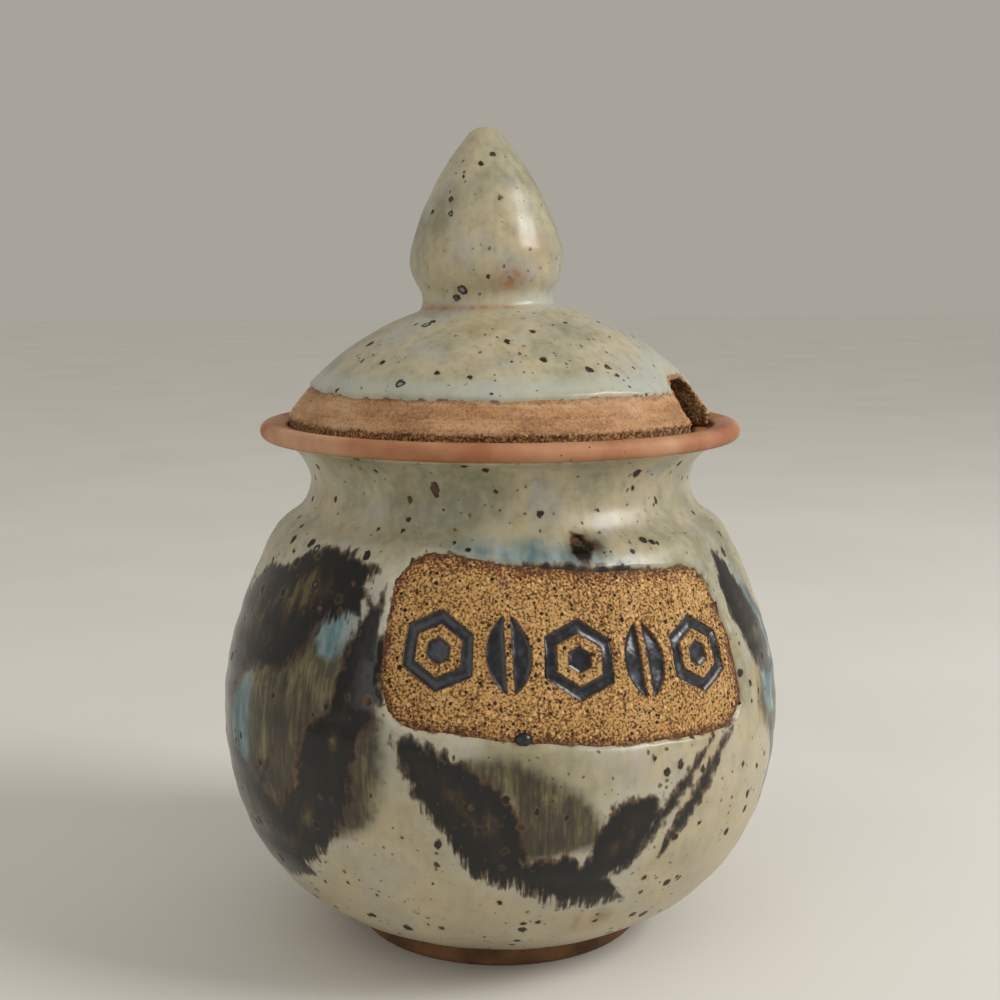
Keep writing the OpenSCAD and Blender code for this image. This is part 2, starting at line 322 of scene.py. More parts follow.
def thrown(node, name):
    """A turned part: its half section on the right, spun round the axis and smoothed."""
    piece = working_copy(node, name)
    bpy.ops.object.mode_set(mode="EDIT")
    bpy.ops.mesh.select_mode(type="VERT")
    for across, both in (((0, 1, 0), True), ((1, 0, 0), False)):
        bpy.ops.mesh.select_all(action="SELECT")
        bpy.ops.mesh.bisect(plane_co=(0, 0, 0), plane_no=across, clear_inner=True, clear_outer=both)
    bpy.ops.mesh.select_all(action="SELECT")
    bpy.ops.mesh.spin(steps=sizes().columns, angle=math.tau, center=(0, 0, 0), axis=(0, 0, 1))
    bpy.ops.mesh.select_all(action="SELECT")
    bpy.ops.mesh.remove_doubles(threshold=1e-5)
    bpy.ops.mesh.normals_make_consistent(inside=False)
    bpy.ops.mesh.select_all(action="DESELECT")
    bpy.ops.mesh.edges_select_sharp(sharpness=math.radians(35))
    bpy.ops.transform.edge_crease(value=0.75)
    close_edit()
    apply_modifier(piece, "SUBSURF", levels=1, render_levels=1)
    return piece


def refine(piece, mask, cuts):
    """Divides the faces whose vertices are all in the mask."""
    choose(piece, mask)
    bpy.ops.mesh.select_mode(type="FACE")
    bpy.ops.mesh.subdivide(number_cuts=cuts)
    close_edit()


def round_corner(side, rise, radius):
    """Distance outside a rounded corner, from the distances past its centre along both sides."""
    return np.hypot(np.maximum(side, 0), np.maximum(rise, 0)) + np.minimum(np.maximum(side, rise), 0) - radius


def panel_place(x, y, z):
    """Place on the panel, measured along the wall and up from its middle line, which falls a little to the right."""
    marks_middle = (MARKS_LOW.z + MARKS_HIGH.z) / 2
    along = np.arctan2(x, -y) * PANEL_R
    return along, z - marks_middle + PANEL_FALL * along


def panel_gap(x, y, z):
    """Distance outside the bare panel's hand-cut outline, negative on the panel."""
    s = sizes()
    along, up = panel_place(x, y, z)
    along = along + 0.35 * MM * np.sin(up / (7 * MM) + 0.6) + 0.1 * MM * np.sin(up / (1.7 * MM) + along * 300)
    up = up - 0.4 * MM + 0.35 * MM * np.sin(along / (9 * MM) + 1.2) + 0.12 * MM * np.sin(along / (2.7 * MM))
    up = up + 0.05 * MM * np.sin(along / (0.8 * MM))
    side = np.abs(along) - s.panel_width / 2 + s.panel_corner + 1.6 * MM * (up / (s.panel_height / 2)) ** 2
    rise = np.abs(up) - s.panel_height / 2 + s.panel_corner
    return round_corner(side, rise, s.panel_corner)


def six_sided(across, up, size):
    """Distance outside a six-sided shape that stands on a corner, of a size across its corners."""
    flat = np.maximum(np.abs(across), np.abs(across) / 2 + np.abs(up) * math.sqrt(3) / 2)
    return flat - size / 2 * math.sqrt(3) / 2


def marks_gap(x, y, z):
    """Distance outside the stamped marks, negative inside them: cells and upright leaves by turns."""
    s = sizes()
    along, up = panel_place(x, y, z)
    up = up / PANEL_LEAN
    number = np.clip(np.round(along / s.mark_pitch), -2, 2)
    across = along - number * s.mark_pitch
    # Each stamp was pressed by hand, so each is turned and set down a little differently
    tilt = 0.05 * np.sin(2.4 * number + 1)
    across, up = across * np.cos(tilt) - up * np.sin(tilt), up * np.cos(tilt) + across * np.sin(tilt)
    up = up + 0.25 * MM * np.sin(1.9 * number)
    ring = np.maximum(six_sided(across, up, s.mark_height),
                      -six_sided(across, up, s.mark_height - 2 * s.mark_line / math.cos(math.radians(30))))
    cell = np.minimum(ring, six_sided(across, up, s.mark_core))
    bend = (s.mark_height ** 2 + s.leaf_width ** 2) / (4 * s.leaf_width)
    leaf = np.hypot(np.abs(across) + bend - s.leaf_width / 2, up) - bend
    leaf = np.maximum(leaf, s.leaf_rib / 2 - np.abs(across))
    return np.where(number % 2 == 0, cell, leaf)


def outer_gap(x, y, z):
    """Distance inside the edges of the pot's outer glaze: over the foot, under the lip and round the panel."""
    s = sizes()
    turn, r = np.arctan2(x, -y), np.hypot(x, y)
    low = (r - FOOT_LINE) * 1.08 - s.edge_wave * 1.6 * ripple(turn, 0, 2.0)
    low = np.where(z > FOOT_TO, 1, low)
    high = np.where(z > RIM_FROM, LIP_LINE - r + s.edge_wave * ripple(2 * turn, 0, 5.0), 1)
    return np.minimum(np.minimum(low, high), panel_gap(x, y, z))


def wobble(x, y, z):
    """Slight unevenness of a wall thrown by hand: shallow rings and a soft wave, always inwards."""
    turn = np.arctan2(x, -y)
    rings = 0.05 * MM * np.sin(z / (1.35 * MM) + turn) + 0.05 * MM * np.sin(z / (0.8 * MM) + 1.3 * np.sin(turn))
    soft = 0.1 * MM * ripple(turn, z, 1.0)
    return np.minimum(rings + soft - 0.22 * MM, 0)


def connect(tree, node, wires):
    """Links a node's inputs to outputs of others, or fills them with values."""
    for key, value in wires.items():
        if isinstance(value, bpy.types.NodeSocket):
            tree.links.new(value, node.inputs[key])
        else:
            node.inputs[key].default_value = value


def add(tree, kind, wires=None, out=0, **settings):
    """Adds a node with its settings, links or fills its inputs, and returns one of its outputs."""
    node = tree.nodes.new(kind if kind.startswith("Node") else "ShaderNode" + kind)
    for key, value in settings.items():
        if key == "stops":
            while len(node.color_ramp.elements) < len(value):
                node.color_ramp.elements.new(0.5)
            for stop, (place, shade) in zip(node.color_ramp.elements, value):
                stop.position, stop.color = place, colour(shade) if isinstance(shade, str) else shade
        else:
            setattr(node, key, value)
    connect(tree, node, wires or {})
    return node.outputs[out]


def clouds(tree, place, size, detail=2.0, shift=0.0):
    """Soft cloudy value about 0.5. The size of its clouds in metres is one number, or three for X, Y and Z."""
    size = size if isinstance(size, tuple) else (size, size, size)
    spot = add(tree, "Mapping", {"Vector": place, "Location": (shift, shift, shift),
                                 "Scale": [1 / s for s in size]})
    return add(tree, "TexNoise", {"Vector": spot, "Scale": 1.0, "Detail": detail})


def specks(tree, place, cell, largest, share, crowd=1.0, tall=1.0, shift=0.0, edge=0.12 * MM):
    """Mask of round specks of many sizes, at most one in a cell, in only a share of the cells."""
    spot = add(tree, "Mapping", {"Vector": place, "Location": (shift, shift, shift),
                                 "Scale": (1 / cell, 1 / cell, 1 / (cell * tall))})
    near = add(tree, "TexVoronoi", {"Vector": spot, "Scale": 1.0})
    pick = add(tree, "SeparateColor", {0: near.node.outputs["Color"]})
    radius = add(tree, "MapRange", {0: pick, 1: 1 - share, 2: 1.0, 3: 0.0, 4: largest / cell})
    radius = add(tree, "Math", {0: radius, 1: crowd}, operation="MULTIPLY")
    inside = add(tree, "Math", {0: radius, 1: near}, operation="SUBTRACT")
    return add(tree, "MapRange", {0: inside, 1: 0.0, 2: edge / cell}, interpolation_type="SMOOTHSTEP")


def unrolled(tree, place):
    """The pot's wall laid flat: the way round from the panel's middle, and the height."""
    x = add(tree, "SeparateXYZ", {0: place})
    back = add(tree, "Math", {0: x.node.outputs["Y"], 1: -1.0}, operation="MULTIPLY")
    turn = add(tree, "Math", {0: x, 1: back}, operation="ARCTAN2")
    way = add(tree, "Math", {0: turn, 1: WALL_R}, operation="MULTIPLY")
    return add(tree, "CombineXYZ", {"X": way, "Y": x.node.outputs["Z"]})


def brush_stroke():
    """A stroke laid down with one press of a soft brush: how deep inside its outline a point lies, in metres."""
    group = bpy.data.node_groups.new("brush_stroke", "ShaderNodeTree")
    for name, kind in (("Place", "Vector"), ("Middle", "Vector"), ("Slope", "Vector"), ("Half size", "Vector"),
                       ("Width", "Float"), ("Bow", "Float")):
        group.interface.new_socket(name, in_out="INPUT", socket_type="NodeSocket" + kind)
    group.interface.new_socket("Depth", in_out="OUTPUT", socket_type="NodeSocketFloat")
    given = add(group, "NodeGroupInput").node.outputs
    spot = add(group, "Mapping", {"Vector": given["Place"], "Location": given["Middle"], "Rotation": given["Slope"],
                                  "Scale": given["Half size"]}, vector_type="TEXTURE")
    along = add(group, "SeparateXYZ", {0: spot})
    across = along.node.outputs["Y"]
    square = add(group, "Math", {0: along, 1: along}, operation="MULTIPLY")
    half = add(group, "Math", {0: 1.0, 1: square}, operation="SUBTRACT")
    heel = add(group, "MapRange", {0: along, 1: -1.0, 2: 1.0, 3: 1.3, 4: 0.75})
    half = add(group, "Math", {0: half, 1: heel}, operation="MULTIPLY")
    bend = add(group, "Math", {0: square, 1: 0.4}, operation="SUBTRACT")
    bend = add(group, "Math", {0: bend, 1: given["Bow"]}, operation="MULTIPLY")
    across = add(group, "Math", {0: across, 1: bend}, operation="ADD")
    across = add(group, "Math", {0: across}, operation="ABSOLUTE")
    depth = add(group, "Math", {0: half, 1: across}, operation="SUBTRACT")
    depth = add(group, "Math", {0: depth, 1: given["Width"]}, operation="MULTIPLY")
    result = group.nodes.new("NodeGroupOutput")
    group.links.new(depth, result.inputs["Depth"])
    return group


def painted(tree, place, strokes):
    """How deep inside the nearest of some brush strokes a point lies, in metres, and negative outside them. These
    strokes are narrower than the wall's faces, so the material draws them itself."""
    stroke, deepest = brush_stroke(), None
    for turn, height, slope, length, width, bow in strokes:
        depth = add(tree, "Group", {"Place": place, "Middle": (math.radians(turn) * WALL_R, height * MM, 0),
                                    "Slope": (0, 0, math.radians(slope)), "Half size": (length * MM, width * MM, 1),
                                    "Width": width * MM, "Bow": bow}, node_tree=stroke)
        if deepest:
            depth = add(tree, "Math", {0: deepest, 1: depth}, operation="MAXIMUM")
        deepest = depth
    return deepest


# Brush strokes: direction in degrees from the panel's middle, height in mm, slope in degrees from level, half
# length and half width in mm, and bow
IRON_LEAVES = (
    (-64, 66, 30, 20, 7.5, 0.45), (-96, 50, 100, 26, 9.5, -0.35), (-48, 43, 68, 17, 5.4, 0.3),
    (-76, 30, 146, 19, 8.0, 0.35), (-57, 32, 48, 13, 5.6, -0.3), (-82, 62, 52, 15, 6.5, 0.3),
    (-43.5, 57, 80, 14, 4.2, 0.2), (-54, 72, 160, 9, 4.4, 0.3),
    (-23, 38, 126, 16, 5.6, -0.4), (-3, 24, 162, 13, 3.4, -0.35), (8, 32, 52, 9, 4.6, 0.3),
    (50, 63, 116, 13, 5.0, 0.35), (62, 42, 76, 17, 5.0, -0.3),
    (156, 54, 60, 18, 6.0, 0.35), (180, 46, 98, 20, 5.6, -0.3), (206, 54, 128, 15, 5.2, 0.35),
    (171, 28, 70, 11, 3.8, 0.2), (120, 40, 80, 13, 4.4, 0.3))
OLIVE_WASHES = ((-65, 50, 82, 28, 26, 0.1), (-14, 38, 156, 17, 9.0, 0.1), (58, 52, 92, 17, 9.0, 0.2),
                (5, 77.5, 8, 6, 3.6, 0), (180, 48, 90, 16, 12, 0.2))
BLUE_WASHES = ((-77, 45, 84, 10, 4.6, 0.2), (-50, 66, 66, 8, 4.6, 0.2), (56, 56, 96, 15, 6.0, 0.2),
               (-6, 76.6, -4, 20, 1.8, 0.2), (168, 44, 80, 13, 5.0, 0.2), (196, 42, 100, 10, 4.0, 0.2))
TAN_WASHES = ((64, 34, 82, 11, 5.0, 0.2), (47, 50, 100, 8, 3.0, 0.2), (5, 14.5, 4, 5.5, 2.6, 0.1),
              (118, 56, 80, 8, 4.0, 0.2))
GRASS_STROKES = ((18, 36, 50, 13, 1.2, 0.5), (25, 37, 53, 14, 1.4, 0.5), (12, 32, 46, 9, 0.9, 0.4),
                 (-70, 33, 60, 12, 0.8, 0.6), (-11, 29, 100, 5, 0.6, 0.6), (5, 74.2, -4.2, 14, 0.9, 0.1),
                 (4.5, 77.6, 12, 2.8, 1.9, 0.1), (186, 36, 70, 14, 1.0, 0.5))


def leaf_depth(way, height, strokes):
    """How deep inside the nearest of some brush strokes each point lies, in metres, and negative outside them."""
    deepest = np.full(way.shape, -1.0)
    for turn, middle, slope, length, width, bow in strokes:
        for whole in (-math.tau * WALL_R, 0, math.tau * WALL_R):
            x, y = way - math.radians(turn) * WALL_R + whole, height - middle * MM
            tilt = math.radians(slope)
            along = (x * math.cos(tilt) + y * math.sin(tilt)) / (length * MM)
            across = (y * math.cos(tilt) - x * math.sin(tilt)) / (width * MM) + bow * (along ** 2 - 0.4)
            half = (1 - along ** 2) * np.clip(1.05 - 0.3 * along, 0.7, 1.4)
            deepest = np.maximum(deepest, (half - np.abs(across)) * width * MM)
    return deepest


def note_brushwork(piece):
    """Writes the brushed leaves and washes on the wall, each leaf with how far its edge there faces down."""
    x, y, z = points(piece)
    way = np.arctan2(x, -y) * WALL_R
    height = z + 0.8 * MM * np.sin(way / (3.1 * MM)) * np.sin(z / (4.3 * MM) + 1)
    way = way + 0.9 * MM * np.sin(z / (3.7 * MM) + 2)
    iron = leaf_depth(way, height, IRON_LEAVES)
    rise = (leaf_depth(way, height + MM, IRON_LEAVES) - leaf_depth(way, height - MM, IRON_LEAVES)) / (2 * MM)
    note(piece, "iron", np.clip(iron, -9 * MM, 9 * MM))
    note(piece, "runs", step(0.1, 0.9, rise) * step(3 * MM, 0.5 * MM, np.abs(iron)))
    for name, strokes in (("olive", OLIVE_WASHES), ("blue", BLUE_WASHES), ("tan", TAN_WASHES)):
        note(piece, name, np.clip(leaf_depth(way, height, strokes), -9 * MM, 9 * MM))


def celadon(tree, place, brushed=False):
    """Feldspar glaze with a little iron, dipped and fired in reduction: a grey-green satin gloss that is bluer where
    it lies thick, warmer where it is thin, with iron from the clay coming up through it as dark specks."""
    big = clouds(tree, place, 19 * MM, 3.0)
    body = add(tree, "ValToRGB", {0: big}, stops=((0.34, tones().glaze_deep), (0.46, tones().glaze),
                                                  (0.56, tones().glaze_warm), (0.68, "#A0A095")))
    fine = clouds(tree, place, (1.6 * MM, 1.6 * MM, 2.2 * MM), 4.0)
    smoke = clouds(tree, place, (8 * MM, 8 * MM, 12 * MM), 3.0, 3.7)
    height = add(tree, "SeparateXYZ", {0: place}, "Z")
    pooled = add(tree, "Attribute", out="Fac", attribute_name="pooled")
    # Milky and dull places, thin blushes and lilac smoke, beige low on the belly, and a milky blue where the glaze
    # lies thick above an edge: each with the values between which it comes in, and how strong it gets
    for value, start, full, most, shade in (
            (fine, 0.48, 0.78, 0.28, "#CAC3A6"), (fine, 0.5, 0.25, 0.32, "#6A6548"),
            (smoke, 0.54, 0.74, 0.4, "#87703F"), (smoke, 0.42, 0.26, 0.45, "#A9A6AC"),
            (height, 58 * MM, 26 * MM, 0.5, "#B3A485"), (pooled, 0.0, 1.0, 0.65, "#B2B7AC")):
        mask = add(tree, "MapRange", {0: value, 1: start, 2: full, 4: most})
        body = add(tree, "Mix", {0: mask, 6: body, 7: colour(shade)}, 2, data_type="RGBA")
    gloss = add(tree, "MapRange", {0: fine, 1: 0.3, 2: 0.7, 3: 0.27, 4: 0.4})
    if brushed:
        body, gloss = brushwork(tree, place, fine, body, gloss)
    thin = add(tree, "Attribute", out="Fac", attribute_name="thin")
    patchy = add(tree, "MapRange", {0: fine, 1: 0.4, 2: 0.6, 3: 0.35, 4: 1.1})
    thin = add(tree, "Math", {0: thin, 1: patchy}, operation="MULTIPLY")
    gap = add(tree, "Attribute", out="Fac", attribute_name="gap")
    wander = add(tree, "MapRange", {0: fine, 1: 0.35, 2: 0.65, 3: -0.25 * MM, 4: 0.35 * MM})
    burnt = add(tree, "Math", {0: gap, 1: wander}, operation="ADD")
    burnt = add(tree, "MapRange", {0: burnt, 1: 0.3 * MM, 2: 0.05 * MM, 4: 0.8}, interpolation_type="SMOOTHSTEP")
    jolt = add(tree, "Mapping", {"Vector": place, "Scale": (1 / MM, 1 / MM, 1 / MM)})
    jolt = add(tree, "TexNoise", {"Vector": jolt, "Scale": 1.1, "Detail": 2.0}, "Color")
    shaken = add(tree, "VectorMath", {0: jolt, 1: (0.9 * MM, 0.9 * MM, 0.9 * MM), 2: place}, operation="MULTIPLY_ADD")
    # Specks: crowded in some places, long on the neck where the glaze ran, a few large ones with a pale middle
    crowd = add(tree, "MapRange", {0: clouds(tree, place, 13 * MM, 2.0, 9.1), 1: 0.36, 2: 0.6, 3: 0.65, 4: 1.2})
    neck = add(tree, "MapRange", {0: height, 1: 68 * MM, 2: 76 * MM, 4: 1.1})
    on_pot = add(tree, "MapRange", {0: height, 1: 92 * MM, 2: 93 * MM, 3: 1.0, 4: 0.0})
    neck = add(tree, "Math", {0: neck, 1: on_pot}, operation="MULTIPLY")
    runny = specks(tree, shaken, 3.6 * MM, 0.75 * MM, 0.7, neck, 2.6, 1.3)
    small = specks(tree, shaken, 1.25 * MM, 0.4 * MM, 0.65, crowd, 1.0, 0.0, 0.2 * MM)
    middling = specks(tree, shaken, 2.5 * MM, 0.85 * MM, 0.5, crowd, 1.1, 5.9, 0.22 * MM)
    large = specks(tree, shaken, 7 * MM, 1.3 * MM, 0.7, 1.0, 1.0, 2.2, 0.3 * MM)
    halo = specks(tree, shaken, 2.5 * MM, 1.25 * MM, 0.5, crowd, 1.1, 5.9, 0.9 * MM)
    halo = add(tree, "Math", {0: halo, 1: 0.5}, operation="MULTIPLY")
    faint = add(tree, "Math", {0: small, 1: 0.8}, operation="MULTIPLY")
    dark = add(tree, "Math", {0: middling, 1: runny}, operation="MAXIMUM")
    dark = add(tree, "Math", {0: dark, 1: large}, operation="MAXIMUM")
    burnt_iron = add(tree, "ValToRGB", {0: clouds(tree, place, 3 * MM, 1.0, 6.4)},
                     stops=((0.42, "#160F0B"), (0.56, "#2B1A10"), (0.7, "#5A3A1C")))
    middle = specks(tree, shaken, 7 * MM, 0.8 * MM, 0.7, 1.0, 1.0, 2.2, 0.4 * MM)
    for mask, shade in ((thin, colour("#96602F")), (burnt, colour("#55371F")), (halo, colour("#876A3C")),
                        (faint, tones().speck), (dark, burnt_iron), (middle, colour("#8A8290"))):
        body = add(tree, "Mix", {0: mask, 6: body, 7: shade}, 2, data_type="RGBA")
    # Burnt specks stand a little proud and are dull, and the glaze over them has a faint orange peel
    gloss = add(tree, "Mix", {0: dark, 2: gloss, 3: 0.55})
    gloss = add(tree, "Mix", {0: burnt, 2: gloss, 3: 0.6})
    peel = clouds(tree, place, 2.6 * MM, 1.0, 1.1)
    relief = add(tree, "Math", {0: dark, 1: 0.4, 2: peel}, operation="MULTIPLY_ADD")
    normal = add(tree, "Bump", {"Strength": 0.45, "Distance": 0.12 * MM, "Height": relief})
    return {"Base Color": body, "Roughness": gloss, "Normal": normal, "IOR": 1.5}


def brushwork(tree, place, fine, body, gloss):
    """Leaves brushed in iron and cobalt over the glaze, which melt into it and run down in fine streaks."""
    flat = unrolled(tree, place)
    streaks = clouds(tree, flat, (0.5 * MM, 4 * MM, 1.0), 4.0, 4.4)
    broad = clouds(tree, flat, (1.9 * MM, 11 * MM, 1.0), 2.0, 1.9)
    torn = add(tree, "MapRange", {0: streaks, 1: 0.3, 2: 0.7, 3: -1.6 * MM, 4: 1.6 * MM})
    ragged = add(tree, "MapRange", {0: fine, 1: 0.3, 2: 0.7, 3: -0.8 * MM, 4: 0.8 * MM})
    down = add(tree, "Attribute", out="Fac", attribute_name="runs")
    torn = add(tree, "Math", {0: torn, 1: down, 2: ragged}, operation="MULTIPLY_ADD")
    edge = {}
    for name in ("iron", "olive", "blue", "tan"):
        edge[name] = add(tree, "Attribute", out="Fac", attribute_name=name)
        edge[name] = add(tree, "Math", {0: edge[name], 1: torn}, operation="ADD")
    # A pale blue-white bloom surrounds the leaves
    bloom = add(tree, "MapRange", {0: edge["iron"], 1: -5 * MM, 2: -1 * MM, 4: 0.3})
    body = add(tree, "Mix", {0: bloom, 6: body, 7: colour("#ADB2AA")}, 2, data_type="RGBA")
    drift = clouds(tree, place, (5 * MM, 5 * MM, 9 * MM), 4.0, 8.3)
    streaky = add(tree, "Mix", {0: 0.4, 2: drift, 3: streaks})
    washy = add(tree, "Mix", {0: 0.35, 2: drift, 3: broad})
    # The washes under the leaves: from where to where inside the edge each comes in, in mm, how strong it gets, and
    # its tones
    for name, start, full, most, value, stops in (
            ("tan", -1.5, 2.6, 0.8, broad, ((0.36, "#6A5B2E"), (0.5, "#A68A4B"), (0.66, "#B39D86"))),
            ("olive", -1.0, 3.0, 0.93, streaky, ((0.38, "#130D06"), (0.46, "#2C2210"), (0.54, "#4C4225"),
                                                 (0.64, "#726C48"))),
            ("blue", -1.8, 2.4, 0.9, washy, ((0.38, "#37585F"), (0.47, tones().cobalt), (0.56, "#7D9294"),
                                             (0.66, "#9AA3A0")))):
        mask = add(tree, "MapRange", {0: edge[name], 1: start * MM, 2: full * MM, 4: most},
                   interpolation_type="SMOOTHSTEP")
        wash = add(tree, "ValToRGB", {0: value}, stops=stops)
        body = add(tree, "Mix", {0: mask, 6: body, 7: wash}, 2, data_type="RGBA")
    # The iron fades out in brown tips where it ran down, and keeps a sharp edge elsewhere
    bristles = add(tree, "MapRange", {0: broad, 1: 0.34, 2: 0.66, 3: -0.5 * MM, 4: 0.5 * MM})
    laid = add(tree, "Math", {0: edge["iron"], 1: bristles}, operation="ADD")
    grass = painted(tree, flat, GRASS_STROKES)
    grass = add(tree, "Math", {0: grass, 1: ragged}, operation="ADD")
    laid = add(tree, "Math", {0: laid, 1: grass}, operation="MAXIMUM")
    fade = add(tree, "MapRange", {0: down, 3: -0.3 * MM, 4: -1.8 * MM})
    stain = add(tree, "Math", {0: fade, 1: 0.4 * MM}, operation="SUBTRACT")
    stain = add(tree, "MapRange", {0: laid, 1: stain, 2: 0.2 * MM, 4: 0.85}, interpolation_type="SMOOTHSTEP")
    body = add(tree, "Mix", {0: stain, 6: body, 7: colour("#4E2F14")}, 2, data_type="RGBA")
    dense = add(tree, "MapRange", {0: laid, 1: fade, 2: 0.9 * MM}, interpolation_type="SMOOTHSTEP")
    # The iron gathers to black along the edge of a leaf and breaks to brown and olive streaks inside it
    inner = add(tree, "MapRange", {0: edge["iron"], 1: 2.2 * MM, 2: 5.0 * MM})
    broken = add(tree, "MapRange", {0: washy, 1: 0.42, 2: 0.6})
    inner = add(tree, "Math", {0: inner, 1: broken}, operation="MULTIPLY")
    leaf = add(tree, "ValToRGB", {0: inner}, stops=((0.0, tones().iron), (0.4, "#1C1209"), (0.75, "#382B14"),
                                                    (1.0, "#544A27")))
    body = add(tree, "Mix", {0: dense, 6: body, 7: leaf}, 2, data_type="RGBA")
    gloss = add(tree, "Mix", {0: dense, 2: gloss, 3: 0.2})
    return body, gloss


def clay_grains(tree, place, body):
    """Grains of coarse stoneware: a sandy mix of pale and brown grit with darker and black ones, and its relief."""
    grit = clouds(tree, place, 0.42 * MM, 2.0)
    sandy = add(tree, "MapRange", {0: grit, 1: 0.5, 2: 0.6, 4: 0.9})
    dark_grit_and_painted_shade = add(tree, "MapRange", {0: grit, 1: 0.48, 2: 0.39, 4: 0.9})
    iron = specks(tree, place, 0.85 * MM, 0.38 * MM, 0.8, 1.0, 1.0, 0.4, 0.1 * MM)
    pale = specks(tree, place, 0.9 * MM, 0.42 * MM, 0.7, 1.0, 1.0, 7.7, 0.12 * MM)
    black = specks(tree, place, 1.7 * MM, 0.5 * MM, 0.6, 1.0, 1.0, 3.3, 0.12 * MM)
    for mask, shade in ((sandy, "#C79C60"), (dark_grit_and_painted_shade, "#4C3019"), (pale, "#D3A970"), (iron, "#33200F"),
                        (black, "#120D0A")):
        body = add(tree, "Mix", {0: mask, 6: body, 7: colour(shade)}, 2, data_type="RGBA")
    relief = add(tree, "Math", {0: grit, 1: iron}, operation="SUBTRACT")
    return body, relief


def stoneware(tree, place):
    """Coarse iron-rich stoneware left bare and toasted by the kiln: dull and grainy, golden brown on the panel,
    redder beside the glaze, orange on the wiped lip with painted shade on its lower edge, and dark brown on the foot."""
    height = add(tree, "SeparateXYZ", {0: place}, "Z")
    patch = clouds(tree, place, 7 * MM, 3.0)
    body = add(tree, "ValToRGB", {0: patch}, stops=((0.34, "#8C6233"), (0.5, tones().clay), (0.66, "#B68C55")))
    wander = add(tree, "MapRange", {0: clouds(tree, place, 2.4 * MM), 1: 0.3, 2: 0.7, 3: -0.7 * MM, 4: 0.7 * MM})
    gap = add(tree, "Attribute", out="Fac", attribute_name="panel_gap")
    gap = add(tree, "Math", {0: gap, 1: wander}, operation="ADD")
    top = add(tree, "MapRange", {0: height, 1: 68 * MM, 2: 73 * MM, 3: -2.4 * MM, 4: -4.2 * MM})
    red = add(tree, "MapRange", {0: gap, 1: top, 2: -0.2 * MM, 4: 0.92}, interpolation_type="SMOOTHSTEP")
    body = add(tree, "Mix", {0: red, 6: body, 7: colour("#77411F")}, 2, data_type="RGBA")
    body, relief = clay_grains(tree, place, body)
    char = add(tree, "MapRange", {0: gap, 1: -1.3 * MM, 2: 0.1 * MM, 4: 0.75})
    stained = add(tree, "Attribute", out="Fac", attribute_name="mark_gap")
    stained = add(tree, "MapRange", {0: stained, 1: 0.3 * MM, 2: 0.05 * MM, 4: 0.7}, interpolation_type="SMOOTHSTEP")
    for mask, shade in ((char, "#4A2814"), (stained, "#33231A")):
        body = add(tree, "Mix", {0: mask, 6: body, 7: colour(shade)}, 2, data_type="RGBA")
    lip = add(tree, "MapRange", {0: height, 1: 89 * MM, 2: 90 * MM})
    edge = add(tree, "Math", {0: wander, 1: 0.35, 2: height}, operation="MULTIPLY_ADD")
    orange = add(tree, "ValToRGB", {0: clouds(tree, place, 14 * MM, 4.0, 2.9)},
                 stops=((0.35, "#9C623F"), (0.5, tones().lip), (0.66, "#C29775")))
    # Painted shade: the lip's lower edge, which faces down, is darkened to brown all round
    dark_grit_and_painted_shade = add(tree, "MapRange", {0: edge, 1: 92.8 * MM, 2: 91.4 * MM, 4: 0.85}, interpolation_type="SMOOTHSTEP")
    orange = add(tree, "Mix", {0: dark_grit_and_painted_shade, 6: orange, 7: colour("#5E3620")}, 2, data_type="RGBA")
    body = add(tree, "Mix", {0: lip, 6: body, 7: orange}, 2, data_type="RGBA")
    freckles = specks(tree, place, 1.6 * MM, 0.3 * MM, 0.6, lip, 1.0, 8.2)
    body = add(tree, "Mix", {0: freckles, 6: body, 7: colour("#4A2A17")}, 2, data_type="RGBA")
    foot = add(tree, "MapRange", {0: height, 1: 9 * MM, 2: 7 * MM})
    brown = add(tree, "ValToRGB", {0: patch}, stops=((0.35, "#533722"), (0.6, "#775334")))
    body = add(tree, "Mix", {0: foot, 6: body, 7: brown}, 2, data_type="RGBA")
    smooth = add(tree, "Math", {0: 1.0, 1: lip}, operation="SUBTRACT")
    relief = add(tree, "Math", {0: relief, 1: smooth}, operation="MULTIPLY")
    normal = add(tree, "Bump", {"Strength": 0.8, "Distance": 0.1 * MM, "Height": relief})
    rough = add(tree, "MapRange", {0: lip, 3: 0.85, 4: 0.62})
    return {"Base Color": body, "Roughness": rough, "Normal": normal, "IOR": 1.45}


